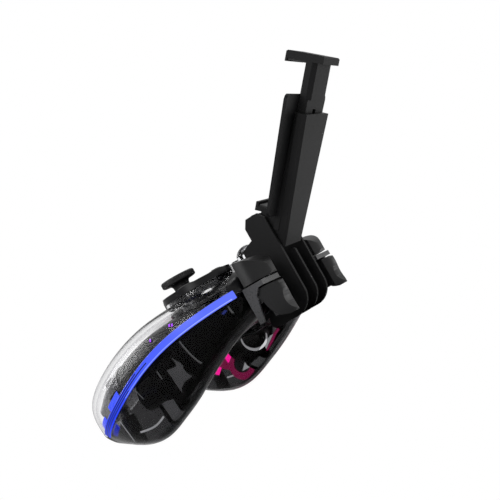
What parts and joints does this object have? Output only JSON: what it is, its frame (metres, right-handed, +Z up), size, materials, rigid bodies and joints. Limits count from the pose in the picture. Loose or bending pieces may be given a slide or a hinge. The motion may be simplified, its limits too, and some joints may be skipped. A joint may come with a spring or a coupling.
{
  "type": "wireless gamepad",
  "caption": "Wireless gamepad with a clear smoked housing, lit light guides, offset thumbsticks, shoulder bumpers and triggers, and a folding spring-jaw phone bracket",
  "frame": {"origin": "centre of the bounding box in plan, on the table that the pad stands on", "axes": "+X to the user's right, +Y away from the user, +Z up"},
  "size_m": [0.1512, 0.2006, 0.0933],
  "materials": {
    "clear_smoke": "clear smoked, glossy",
    "liner_black": "satin",
    "guide_blue": "lit light guide, blue",
    "guide_pink": "lit light guide, pink",
    "board": "black solder mask",
    "steel": "plated",
    "switch_grey": "moulded",
    "membrane": "silicone",
    "cell_wrap": "wrapped cell",
    "clear_dome": "clear, glossy",
    "rubber_black": "fine grain",
    "gloss_grey": "glossy",
    "bezel_grey": "satin gloss",
    "gloss_black": "glossy",
    "bracket_black": "fine satin"
  },
  "bodies": {
    "pad": {"back_shell": "clear_smoke", "battery": "cell_wrap", "bracket_base": "bracket_black", "bumper_pin_left": "steel", "bumper_pin_right": "steel", "button_pad": "membrane", "charge_port": "steel", "dpad_post": "switch_grey", "front_shell": "clear_smoke", "hinge_pin": "steel", "inner_deck": "liner_black", "inner_tray": "liner_black", "light_guide_left": "guide_pink", "light_guide_right": "guide_blue", "main_board": "board", "rumble_motor_left": "steel", "rumble_motor_right": "steel", "screws": "steel", "shoulder_frame_left": "bezel_grey", "shoulder_frame_right": "bezel_grey", "stick_base_left": "switch_grey", "stick_base_right": "switch_grey", "stick_collar_left": "gloss_grey", "stick_collar_right": "gloss_grey", "tact_switches": "switch_grey", "trigger_pin_left": "steel", "trigger_pin_right": "steel"},
    "stick_ring_right": {"stick_ring_right": "steel"},
    "stick_hub_right": {"stick_hub_right": "steel"},
    "thumbstick_right": {"thumbstick_right": "rubber_black"},
    "stick_ring_left": {"stick_ring_left": "steel"},
    "stick_hub_left": {"stick_hub_left": "steel"},
    "thumbstick_left": {"thumbstick_left": "rubber_black"},
    "dpad_pivot": {"dpad_pivot": "switch_grey"},
    "dpad": {"dpad_cross": "gloss_black", "dpad_dish": "gloss_black"},
    "button_a": {"button_a": "gloss_black"},
    "button_b": {"button_b": "gloss_black"},
    "button_x": {"button_x": "gloss_black"},
    "button_y": {"button_y": "gloss_black"},
    "button_view": {"button_view": "gloss_black"},
    "button_menu": {"button_menu": "gloss_black"},
    "button_share": {"button_share": "gloss_black"},
    "button_home": {"button_home": "clear_dome"},
    "bumper_right": {"bumper_right": "gloss_black"},
    "trigger_right": {"trigger_right": "gloss_black"},
    "motor_weight_right": {"motor_weight_right": "steel"},
    "bumper_left": {"bumper_left": "gloss_black"},
    "trigger_left": {"trigger_left": "gloss_black"},
    "motor_weight_left": {"motor_weight_left": "steel"},
    "phone_holder": {"holder_frame": "bracket_black", "holder_cover": "bracket_black", "seat_pad": "rubber_black", "lower_jaw_pad": "rubber_black", "jaw_spring": "steel"},
    "upper_jaw": {"upper_jaw": "bracket_black", "upper_jaw_pad": "rubber_black"}
  },
  "joints": [
    {"name": "stick_tilt_y_right", "type": "hinge", "parent": "pad", "child": "stick_ring_right", "pos_m": [0.02, -0.03419, 0.03952], "axis": [1, 0, 0], "range_deg": [-17, 17], "stiffness_Nm_per_rad": 0.035},
    {"name": "stick_tilt_x_right", "type": "hinge", "parent": "stick_ring_right", "child": "stick_hub_right", "pos_m": [0.02, -0.03419, 0.03952], "axis": [0, 0.9641, -0.2655], "range_deg": [-17, 17], "stiffness_Nm_per_rad": 0.035},
    {"name": "stick_press_right", "type": "slide", "parent": "stick_hub_right", "child": "thumbstick_right", "axis": [0, -0.2655, -0.9641], "range_m": [0, 0.0005], "stiffness_N_per_m": 3000, "springref_m": -0.0003},
    {"name": "stick_tilt_y_left", "type": "hinge", "parent": "pad", "child": "stick_ring_left", "pos_m": [-0.046, -0.00864, 0.03249], "axis": [1, 0, 0], "range_deg": [-17, 17], "stiffness_Nm_per_rad": 0.035},
    {"name": "stick_tilt_x_left", "type": "hinge", "parent": "stick_ring_left", "child": "stick_hub_left", "pos_m": [-0.046, -0.00864, 0.03249], "axis": [0, 0.9641, -0.2655], "range_deg": [-17, 17], "stiffness_Nm_per_rad": 0.035},
    {"name": "stick_press_left", "type": "slide", "parent": "stick_hub_left", "child": "thumbstick_left", "axis": [0, -0.2655, -0.9641], "range_m": [0, 0.0005], "stiffness_N_per_m": 3000, "springref_m": -0.0003},
    {"name": "dpad_tilt_y", "type": "hinge", "parent": "pad", "child": "dpad_pivot", "pos_m": [-0.02, -0.03376, 0.04107], "axis": [1, 0, 0], "range_deg": [-5, 5], "stiffness_Nm_per_rad": 0.08},
    {"name": "dpad_tilt_x", "type": "hinge", "parent": "dpad_pivot", "child": "dpad", "pos_m": [-0.02, -0.03376, 0.04107], "axis": [0, 0.9641, -0.2655], "range_deg": [-5, 5], "stiffness_Nm_per_rad": 0.08},
    {"name": "press_a", "type": "slide", "parent": "pad", "child": "button_a", "axis": [0, -0.2655, -0.9641], "range_m": [0, 0.0012], "stiffness_N_per_m": 500, "springref_m": -0.0005},
    {"name": "press_b", "type": "slide", "parent": "pad", "child": "button_b", "axis": [0, -0.2655, -0.9641], "range_m": [0, 0.0012], "stiffness_N_per_m": 500, "springref_m": -0.0005},
    {"name": "press_x", "type": "slide", "parent": "pad", "child": "button_x", "axis": [0, -0.2655, -0.9641], "range_m": [0, 0.0012], "stiffness_N_per_m": 500, "springref_m": -0.0005},
    {"name": "press_y", "type": "slide", "parent": "pad", "child": "button_y", "axis": [0, -0.2655, -0.9641], "range_m": [0, 0.0012], "stiffness_N_per_m": 500, "springref_m": -0.0005},
    {"name": "press_view", "type": "slide", "parent": "pad", "child": "button_view", "axis": [0, -0.2655, -0.9641], "range_m": [0, 0.0008], "stiffness_N_per_m": 800, "springref_m": -0.0004},
    {"name": "press_menu", "type": "slide", "parent": "pad", "child": "button_menu", "axis": [0, -0.2655, -0.9641], "range_m": [0, 0.0008], "stiffness_N_per_m": 800, "springref_m": -0.0004},
    {"name": "press_share", "type": "slide", "parent": "pad", "child": "button_share", "axis": [0, -0.2655, -0.9641], "range_m": [0, 0.0008], "stiffness_N_per_m": 800, "springref_m": -0.0004},
    {"name": "press_home", "type": "slide", "parent": "pad", "child": "button_home", "axis": [0, -0.2655, -0.9641], "range_m": [0, 0.0008], "stiffness_N_per_m": 800, "springref_m": -0.0004},
    {"name": "bumper_press_right", "type": "hinge", "parent": "pad", "child": "bumper_right", "pos_m": [0.034, 0.00968, 0.02744], "axis": [0, -0.2655, -0.9641], "range_deg": [0, 2.5], "stiffness_Nm_per_rad": 1, "springref_deg": -1.72},
    {"name": "trigger_pull_right", "type": "hinge", "parent": "pad", "child": "trigger_right", "pos_m": [0.04175, 0.00606, 0.0162], "axis": [-1, 0, 0], "range_deg": [0, 18], "stiffness_Nm_per_rad": 0.04, "springref_deg": -8.59},
    {"name": "rumble_right", "type": "hinge", "parent": "pad", "child": "motor_weight_right", "pos_m": [0.055, -0.05989, 0.01963], "axis": [0, 0.9641, -0.2655], "continuous": true},
    {"name": "bumper_press_left", "type": "hinge", "parent": "pad", "child": "bumper_left", "pos_m": [-0.034, 0.00968, 0.02744], "axis": [0, 0.2655, 0.9641], "range_deg": [0, 2.5], "stiffness_Nm_per_rad": 1, "springref_deg": -1.72},
    {"name": "trigger_pull_left", "type": "hinge", "parent": "pad", "child": "trigger_left", "pos_m": [-0.04175, 0.00606, 0.0162], "axis": [-1, 0, 0], "range_deg": [0, 18], "stiffness_Nm_per_rad": 0.04, "springref_deg": -8.59},
    {"name": "rumble_left", "type": "hinge", "parent": "pad", "child": "motor_weight_left", "pos_m": [-0.055, -0.05989, 0.01963], "axis": [0, 0.9641, -0.2655], "continuous": true},
    {"name": "holder_tilt", "type": "hinge", "parent": "pad", "child": "phone_holder", "pos_m": [0, 0.0188, 0.04588], "axis": [1, 0, 0], "range_deg": [-30, 125]},
    {"name": "jaw_slide", "type": "slide", "parent": "phone_holder", "child": "upper_jaw", "axis": [0, 0.8462, 0.5329], "range_m": [-0.014, 0.014], "stiffness_N_per_m": 150}
  ]
}
